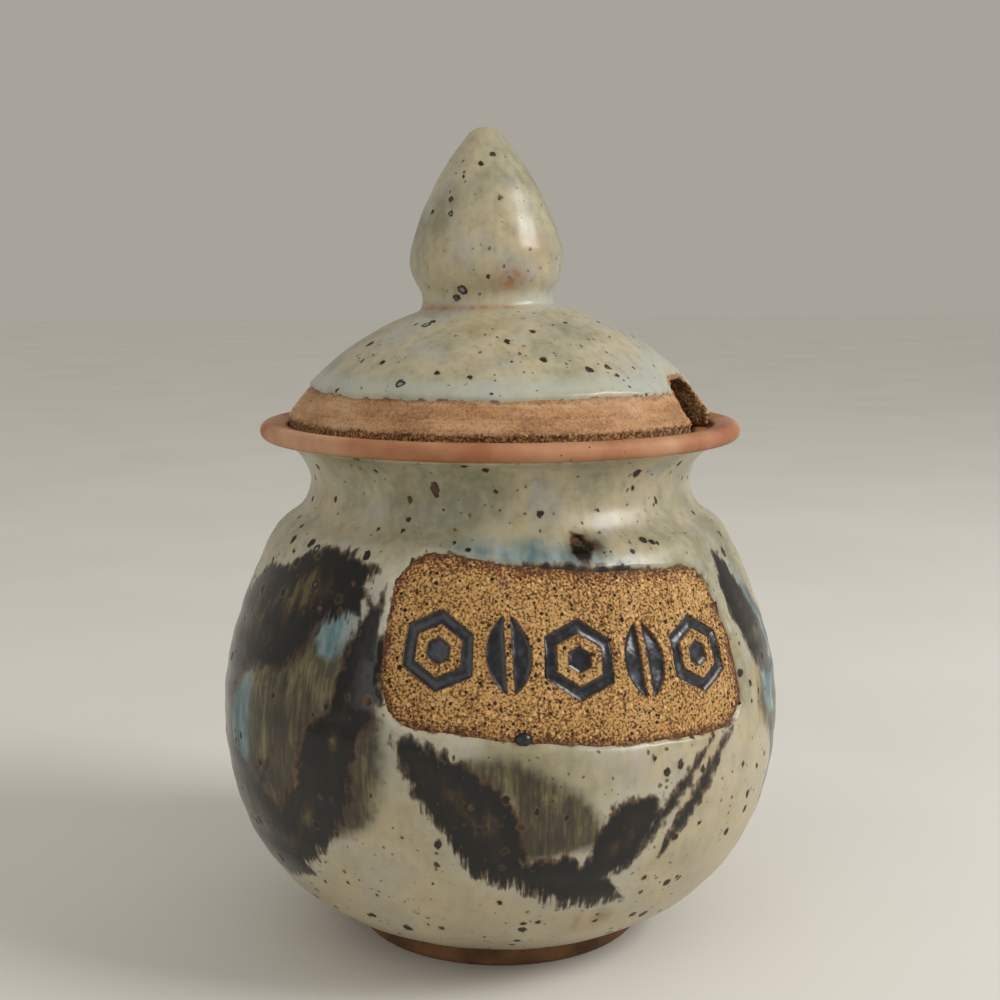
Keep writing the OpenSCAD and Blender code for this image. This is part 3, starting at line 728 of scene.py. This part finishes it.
def turned_stoneware(tree, place):
    """Bare stoneware of the lid's band: wiped smooth and toasted brown, with fine turning lines, a faint dark line
    under the glaze, a rougher, darker notch where a tool cut it, and a rougher lower lip darkened with painted shade."""
    height = add(tree, "SeparateXYZ", {0: place}, "Z")
    patch = clouds(tree, place, (9 * MM, 9 * MM, 2.5 * MM), 3.0)
    body = add(tree, "ValToRGB", {0: patch}, stops=((0.34, "#9A6E48"), (0.5, tones().band), (0.66, "#C39C78")))
    lines = clouds(tree, place, (40 * MM, 40 * MM, 0.5 * MM), 2.0)
    faint = add(tree, "MapRange", {0: lines, 1: 0.5, 2: 0.75, 4: 0.35})
    body = add(tree, "Mix", {0: faint, 6: body, 7: colour("#6E4526")}, 2, data_type="RGBA")
    wander = add(tree, "MapRange", {0: clouds(tree, place, 2.2 * MM), 1: 0.3, 2: 0.7, 3: -0.4 * MM, 4: 0.4 * MM})
    edge = add(tree, "Math", {0: height, 1: wander}, operation="ADD")
    line = add(tree, "MapRange", {0: edge, 1: 100.8 * MM, 2: 101.2 * MM, 4: 0.35})
    # Painted shade: the recessed lower lip under the band, where it sits in the rim, is darkened all round; its
    # rougher grain is the clay's own
    low = add(tree, "MapRange", {0: edge, 1: 96.7 * MM, 2: 96.0 * MM, 4: 0.75})
    cut = add(tree, "Attribute", out="Fac", attribute_name="notch_gap")
    cut = add(tree, "MapRange", {0: cut, 1: 0.7 * MM, 2: 0.2 * MM, 4: 0.7})
    dark = add(tree, "Math", {0: line, 1: low}, operation="MAXIMUM")
    for mask, shade in ((dark, "#4A2C19"), (cut, "#7A5330")):
        body = add(tree, "Mix", {0: mask, 6: body, 7: colour(shade)}, 2, data_type="RGBA")
    grainy, relief = clay_grains(tree, place, body)
    rough = add(tree, "Math", {0: low, 1: cut}, operation="MAXIMUM")
    amount = add(tree, "MapRange", {0: rough, 3: 0.28, 4: 0.9})
    body = add(tree, "Mix", {0: amount, 6: body, 7: grainy}, 2, data_type="RGBA")
    relief = add(tree, "Math", {0: relief, 1: amount}, operation="MULTIPLY")
    relief = add(tree, "Math", {0: lines, 1: relief}, operation="ADD")
    normal = add(tree, "Bump", {"Strength": 0.7, "Distance": 0.1 * MM, "Height": relief})
    return {"Base Color": body, "Roughness": 0.72, "Normal": normal, "IOR": 1.45}


def cobalt_iron(tree, place):
    """Thick cobalt and iron glaze pooled in the stamped marks: nearly black with blue where it breaks, and wet
    looking beside the dull clay."""
    drift = clouds(tree, place, 1.6 * MM, 3.0)
    body = add(tree, "ValToRGB", {0: drift}, stops=((0.38, "#0B0E13"), (0.55, tones().marks), (0.72, "#303B47")))
    dust = specks(tree, place, 1.4 * MM, 0.22 * MM, 0.5, 1.0, 1.0, 2.6, 0.08 * MM)
    body = add(tree, "Mix", {0: dust, 6: body, 7: colour("#59412C")}, 2, data_type="RGBA")
    gloss = add(tree, "MapRange", {0: drift, 1: 0.35, 2: 0.7, 3: 0.24, 4: 0.42})
    normal = add(tree, "Bump", {"Strength": 0.5, "Distance": 0.15 * MM, "Height": clouds(tree, place, 1.1 * MM, 1.0)})
    return {"Base Color": body, "Roughness": gloss, "Normal": normal, "IOR": 1.56}


def pale_paper(tree, place):
    """Matt seamless paper of the studio floor."""
    body = add(tree, "ValToRGB", {0: clouds(tree, place, 90 * MM)}, stops=((0.3, "#DFDBD2"), (0.7, "#E3E0D8")))
    return {"Base Color": body, "Roughness": 0.85}


def material(name, build, **given):
    """Finds a material by its name, or makes it with a function that gives its shader's inputs from a tree and the
    place on the piece."""
    made = bpy.data.materials.get(name)
    if made:
        return made
    made = bpy.data.materials.new(name)
    made.use_nodes = True
    tree = made.node_tree
    place = add(tree, "TexCoord", out="Object")
    connect(tree, tree.nodes["Principled BSDF"], build(tree, place, **given))
    return made


def dress(piece, finish, body, node, shell=0.0):
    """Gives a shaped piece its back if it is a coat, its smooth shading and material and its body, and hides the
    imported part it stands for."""
    if shell:
        apply_modifier(piece, "SOLIDIFY", thickness=shell, offset=-1)
    alone(piece)
    bpy.ops.object.shade_smooth()
    piece.data.materials.clear()
    piece.data.materials.append(finish)
    for key in ("UVMap", "sharp_face", "sharp_edge"):
        if key in piece.data.attributes:
            piece.data.attributes.remove(piece.data.attributes[key])
    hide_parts(node)
    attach(piece, body)


class ThrowPot(Operator):
    """Throws the pot's clay and stamps the marks in its bare panel"""
    bl_idname = "honey_pot.throw_pot"
    bl_label = "Pot clay"

    def execute(self, context):
        piece = thrown("pot_body", "pot_clay")
        refine(piece, outward(piece) & (panel_gap(*points(piece)) < 1.5 * MM), 4)
        x, y, z = points(piece)
        refine(piece, outward(piece) & (np.abs(marks_gap(x, y, z)) < 0.9 * MM) & (panel_gap(x, y, z) < 0), 1)
        x, y, z = points(piece)
        panel = np.where(outward(piece), panel_gap(x, y, z), 1)
        marks = np.where(panel < 0, marks_gap(x, y, z), 1)
        stamped = sizes().mark_depth * step(0.05 * MM, -0.35 * MM, marks)
        rim = 0.05 * MM * hump(marks, 0.35 * MM, 0.25 * MM)
        grains = 0.05 * MM * np.sin(x / (0.23 * MM)) * np.sin(z / (0.21 * MM)) * step(0, -1 * MM, panel)
        wall = np.where((z > UNEVEN_FROM) & (z < UNEVEN_TO) & outward(piece), wobble(x, y, z), 0)
        lift(piece, wall - stamped + rim + grains)
        note(piece, "panel_gap", panel)
        note(piece, "mark_gap", marks)
        dress(piece, material("toasted_stoneware", stoneware), "pot", "pot_body")
        return {"FINISHED"}


class GlazePot(Operator):
    """Coats the outside of the pot with glaze, open round the panel"""
    bl_idname = "honey_pot.glaze_pot"
    bl_label = "Pot outer glaze"

    def execute(self, context):
        piece = thrown("pot_body", "pot_glaze")
        x, y, z = points(piece)
        outside = (facing(piece) > 0.02) | (normals(piece)[2] < -0.5)
        r = np.hypot(x, y)
        keep(piece, outside & (z > 3 * MM) & (r > FOOT_LINE - 2 * MM) & ((z < RIM_FROM) | (r < LIP_LINE + 1.4 * MM)))
        refine(piece, np.abs(outer_gap(*points(piece))) < 1.6 * MM, 3)
        keep(piece, outer_gap(*points(piece)) > -1.0 * MM)
        x, y, z = points(piece)
        gap = outer_gap(x, y, z)
        lift(piece, coat_height(gap) + wobble(x, y, z))
        note(piece, "gap", gap)
        note_brushwork(piece)
        finish = material("celadon_with_iron_brushwork", celadon, brushed=True)
        dress(piece, finish, "pot", "pot_outer_glaze", OUTER_BACK)
        return {"FINISHED"}


class GlazePotInside(Operator):
    """Coats the inside of the pot with glaze over the thrower's rings"""
    bl_idname = "honey_pot.glaze_pot_inside"
    bl_label = "Pot inner glaze"

    def execute(self, context):
        piece = thrown("pot_body", "pot_inside_glaze")
        x, y, z = points(piece)
        between = (z > INSIDE_FLOOR) & (z < INSIDE_RIM)
        under_belly = (z < 7 * MM) & (np.hypot(x, y) > 30 * MM)
        keep(piece, (facing(piece) < 0.1) & (normals(piece)[2] > -0.98) & between & ~under_belly)
        x, y, z = points(piece)
        turn = np.arctan2(x, -y)
        gap = INSIDE_STOP - z + sizes().edge_wave * ripple(turn, 0, 8.0)
        rings = 0.16 * MM * (np.sin(z * math.tau / (5.5 * MM) + turn) - 1) * step(6 * MM, 14 * MM, z)
        lift(piece, coat_height(gap) + rings * step(0, 6 * MM, gap))
        note(piece, "gap", gap)
        dress(piece, material("speckled_celadon", celadon), "pot", "pot_inner_glaze", INNER_BACK)
        return {"FINISHED"}


def drop_of_glaze(piece, middle):
    """Joins a round drop, half sunk in the wall, to a piece."""
    bpy.ops.object.select_all(action="DESELECT")
    bpy.ops.mesh.primitive_uv_sphere_add(segments=28, ring_count=14, radius=DROP_SIZE, location=middle)
    drop = bpy.context.object
    bpy.ops.object.mode_set(mode="EDIT")
    bpy.ops.mesh.select_all(action="SELECT")
    bpy.ops.transform.resize(value=(1.12, 1, 0.93))
    close_edit()
    alone(piece)
    drop.select_set(True)
    bpy.ops.object.join()


class FillMarks(Operator):
    """Fills the stamped marks with pools of dark glaze, and adds the drop that fell beside them"""
    bl_idname = "honey_pot.fill_marks"
    bl_label = "Glaze in the marks"

    def execute(self, context):
        piece = thrown("pot_body", "mark_pools")
        x, y, z = points(piece)
        from_drop = np.hypot((np.arctan2(x, -y) - DROP_TURN) * PANEL_R, z - DROP_UP) + ~outward(piece)
        under = int(np.argmin(from_drop))
        drop_middle = points(piece)[:, under] - 0.6 * DROP_SIZE * normals(piece)[:, under]
        keep(piece, outward(piece) & (panel_gap(x, y, z) < 0) & (marks_gap(x, y, z) < 4 * MM))
        refine(piece, points(piece)[2] > 0, 7)
        keep(piece, marks_gap(*points(piece)) < 0.3 * MM)
        x, y, z = points(piece)
        marks = marks_gap(x, y, z)
        level = -0.55 * MM + 0.3 * MM * np.exp(np.minimum(marks, 0) / (0.35 * MM))
        lift(piece, level + wobble(x, y, z) + 0.04 * MM * np.sin(x / (0.9 * MM)) * np.sin(z / (1.1 * MM)))
        note(piece, "mark_gap", marks)
        apply_modifier(piece, "SOLIDIFY", thickness=0.5 * MM, offset=-1)
        drop_of_glaze(piece, drop_middle.tolist())
        dress(piece, material("cobalt_iron_glaze", cobalt_iron), "pot", "panel_marks")
        return {"FINISHED"}


def lid_skin(nodes, name, voxel):
    """The lid's clay as one skin of even faces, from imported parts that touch."""
    copies = [working_copy(node, name) for node in nodes]
    alone(copies[0])
    for piece in copies[1:]:
        piece.select_set(True)
    if len(copies) > 1:
        bpy.ops.object.join()
    piece = copies[0]
    apply_modifier(piece, "REMESH", mode="VOXEL", voxel_size=voxel)
    apply_modifier(piece, "SMOOTH", factor=0.5, iterations=4)
    return piece


def notch_gap(x, y, z):
    """Distance outside the spoon notch, seen along it."""
    s = lid_sizes()
    out = x * math.sin(s.notch_turn) - y * math.cos(s.notch_turn)
    across = np.abs(x * math.cos(s.notch_turn) + y * math.sin(s.notch_turn)) - s.notch_width / 2 + s.notch_corner
    up = z - LID_LOW.z - s.notch_height + s.notch_corner
    return np.where(out > 0, round_corner(across, up, s.notch_corner), 1)


def knob_place(x, y):
    """Distance from the knob's axis, and direction round it, 0 towards the front."""
    s = lid_sizes()
    kx, ky = s.knob_shift * math.sin(s.knob_turn), -s.knob_shift * math.cos(s.knob_turn)
    return np.hypot(x - kx, y - ky), np.arctan2(x - kx, -(y - ky))


def lid_gap(x, y, z):
    """Distance inside the edges of the lid's outer glaze: over the bare band and beside the notch."""
    turn = np.arctan2(x, -y)
    low = (z - LID_COAT_LOW.z - 0.35 * MM) / 0.75 + sizes().edge_wave * ripple(turn, 0, 4.0)
    return np.minimum(low, notch_gap(x, y, z) - 0.75 * MM)


class CutLid(Operator):
    """Shapes the lid's clay with its band, its set-back edge and the spoon notch"""
    bl_idname = "honey_pot.cut_lid"
    bl_label = "Lid clay"

    def execute(self, context):
        piece = lid_skin(["lid_dome"], "lid_clay", 0.52 * MM)
        x, y, z = points(piece)
        turn, r = np.arctan2(x, -y), np.hypot(x, y)
        band = (z > LID_LOW.z + 2.4 * MM) & (z < LID_COAT_LOW.z + 1 * MM) & (r > 35 * MM)
        turned = 0.035 * MM * np.sin(z / (0.13 * MM) + 2 * np.sin(turn)) - 0.06 * MM
        cut = 0.12 * MM * np.sin(z / (0.5 * MM)) * np.sin(r / (0.6 * MM)) - 0.05 * MM
        lift(piece, np.where(band, turned, 0) + np.where(notch_gap(x, y, z) < 0.4 * MM, cut, 0))
        note(piece, "notch_gap", notch_gap(x, y, z))
        dress(piece, material("turned_stoneware", turned_stoneware), "lid", "lid_dome")
        for place in frame["nodes"]["lid_knob"].material_slots:
            place.material = material("turned_stoneware", turned_stoneware)
        return {"FINISHED"}


class GlazeLid(Operator):
    """Coats the dome and the knob with glaze, down to the bare band"""
    bl_idname = "honey_pot.glaze_lid"
    bl_label = "Lid outer glaze"

    def execute(self, context):
        piece = lid_skin(["lid_dome", "lid_knob"], "lid_glaze", lid_sizes().voxel)
        x, y, z = points(piece)
        nz = normals(piece)[2]
        from_axis, _ = knob_place(x, y)
        outer = (facing(piece) > 0.05) | (nz > 0.1)
        keep(piece, outer & (lid_gap(x, y, z) > -0.9 * MM) & ((nz > -0.2) | (from_axis < 16 * MM)))
        x, y, z = points(piece)
        from_axis, round_knob = knob_place(x, y)
        ring = np.hypot(from_axis - lid_sizes().crease, z - (LID_HIGH.z - 1.5 * MM))
        choose(piece, ring < 2.2 * MM)
        bpy.ops.mesh.vertices_smooth(factor=0.5, repeat=10)
        close_edit()
        gap = lid_gap(x, y, z)
        lift(piece, coat_height(gap) + 0.5 * wobble(x, y, z))
        note(piece, "gap", gap)
        note(piece, "pooled", np.clip(hump(gap, 2.2 * MM, 2.2 * MM)
                                      + hump(ring, 1.5 * MM, 1.8 * MM) * step(-0.6, 0.8, round_knob), 0, 1))
        crease = hump(ring, 0, 0.8 * MM) * step(0.9, -0.2, round_knob) * step(-2.6, -1.9, round_knob)
        blushes = sum(hump(from_axis * (round_knob - math.radians(turn)), 0, wide * MM)
                      * hump(z, up * MM, tall * MM) * deep for turn, up, wide, tall, deep in KNOB_BLUSHES)
        note(piece, "thin", np.maximum(0.75 * crease, blushes))
        dress(piece, material("speckled_celadon", celadon), "lid", "lid_outer_glaze", OUTER_BACK)
        return {"FINISHED"}


def lid_inside_gap(x, y, z):
    """Distance inside the edges of the lid's inner glaze: over its set-back edge and beside the notch."""
    low = z - LID_INSIDE_STOP + sizes().edge_wave * ripple(np.arctan2(x, -y), 0, 6.0)
    return np.minimum(low, notch_gap(x, y, z) - 0.6 * MM)


class GlazeLidInside(Operator):
    """Coats the hollow of the lid with glaze"""
    bl_idname = "honey_pot.glaze_lid_inside"
    bl_label = "Lid inner glaze"

    def execute(self, context):
        piece = lid_skin(["lid_dome"], "lid_inside_glaze", 0.7 * MM)
        x, y, z = points(piece)
        inner = (normals(piece)[2] < -0.25) | (facing(piece) < -0.2)
        keep(piece, inner & (lid_inside_gap(x, y, z) > -1 * MM) & (np.hypot(x, y) < 36 * MM))
        gap = lid_inside_gap(*points(piece))
        lift(piece, coat_height(gap))
        note(piece, "gap", gap)
        dress(piece, material("speckled_celadon", celadon), "lid", "lid_inner_glaze", INNER_BACK)
        return {"FINISHED"}


class BuildStudio(Operator):
    """Sets up the floor, the lamps and the camera"""
    bl_idname = "honey_pot.build_studio"
    bl_label = "Studio"

    def execute(self, context):
        scene = context.scene
        scene.view_settings.view_transform = "Standard"
        world = bpy.data.worlds.new("pale_room")
        world.use_nodes = True
        tree = world.node_tree
        given = tree.nodes["Background"]
        given.inputs["Color"].default_value = colour("#EDEBE6")
        given.inputs["Strength"].default_value = 0.6
        # What the camera, the glaze's reflections and glass see is the tone of the far floor
        seen = add(tree, "Background", {"Color": colour("#A8A49C")})
        ray = add(tree, "LightPath", out="Is Camera Ray")
        kinds = ray.node.outputs
        for kind in ("Is Glossy Ray", "Is Transmission Ray"):
            ray = add(tree, "Math", {0: ray, 1: kinds[kind]}, operation="MAXIMUM")
        room = add(tree, "MixShader", {0: ray, 1: given.outputs[0], 2: seen})
        tree.links.new(room, tree.nodes["World Output"].inputs["Surface"])
        scene.world = world
        bpy.ops.object.select_all(action="DESELECT")
        bpy.ops.mesh.primitive_grid_add(x_subdivisions=8, y_subdivisions=8, size=7, location=(0, 0, 0))
        floor = context.object
        floor.name = "floor"
        floor.data.materials.append(material("pale_paper", pale_paper))
        for name, place, size, power in LAMPS:
            bpy.ops.object.light_add(type="AREA", location=place)
            lamp = context.object
            lamp.name = name
            lamp.data.size = size
            lamp.data.energy = power
            aim = -(lamp.location - TIP * 0.5)
            lamp.rotation_euler = aim.to_track_quat("-Z", "Y").to_euler()
        bpy.ops.object.camera_add(location=CAMERA_PLACE)
        camera = context.object
        camera.name = "camera"
        camera.rotation_euler = (math.radians(90 - CAMERA_DOWN), 0, math.radians(CAMERA_TURN))
        camera.data.lens = LENS
        camera.data.sensor_width = 36
        camera.data.clip_start = 0.01
        scene.camera = camera
        return {"FINISHED"}


class HoneyPotPanel(Panel):
    """Lists the steps that make the pot"""
    bl_label = "Honey pot"
    bl_idname = "HONEYPOT_PT_steps"
    bl_space_type = "VIEW_3D"
    bl_region_type = "UI"
    bl_category = "Honey pot"

    def draw(self, context):
        for operator in OPERATORS:
            self.layout.operator(operator.bl_idname)


OPERATORS = (ThrowPot, GlazePot, GlazePotInside, FillMarks, CutLid, GlazeLid, GlazeLidInside, BuildStudio)
CLASSES = (PotSizes, LidSizes, PotTones) + OPERATORS + (HoneyPotPanel,)


def register():
    for cls in CLASSES:
        bpy.utils.register_class(cls)
    bpy.types.Scene.honey_pot = PointerProperty(type=PotSizes)
    bpy.types.Scene.honey_lid = PointerProperty(type=LidSizes)
    bpy.types.Scene.honey_tones = PointerProperty(type=PotTones)


def unregister():
    del bpy.types.Scene.honey_tones
    del bpy.types.Scene.honey_lid
    del bpy.types.Scene.honey_pot
    for cls in reversed(CLASSES):
        bpy.utils.unregister_class(cls)


def main():
    register()
    bpy.ops.honey_pot.throw_pot()
    bpy.ops.honey_pot.glaze_pot()
    bpy.ops.honey_pot.glaze_pot_inside()
    bpy.ops.honey_pot.fill_marks()
    bpy.ops.honey_pot.cut_lid()
    bpy.ops.honey_pot.glaze_lid()
    bpy.ops.honey_pot.glaze_lid_inside()
    bpy.ops.honey_pot.build_studio()


if __name__ == "__main__":
    main()
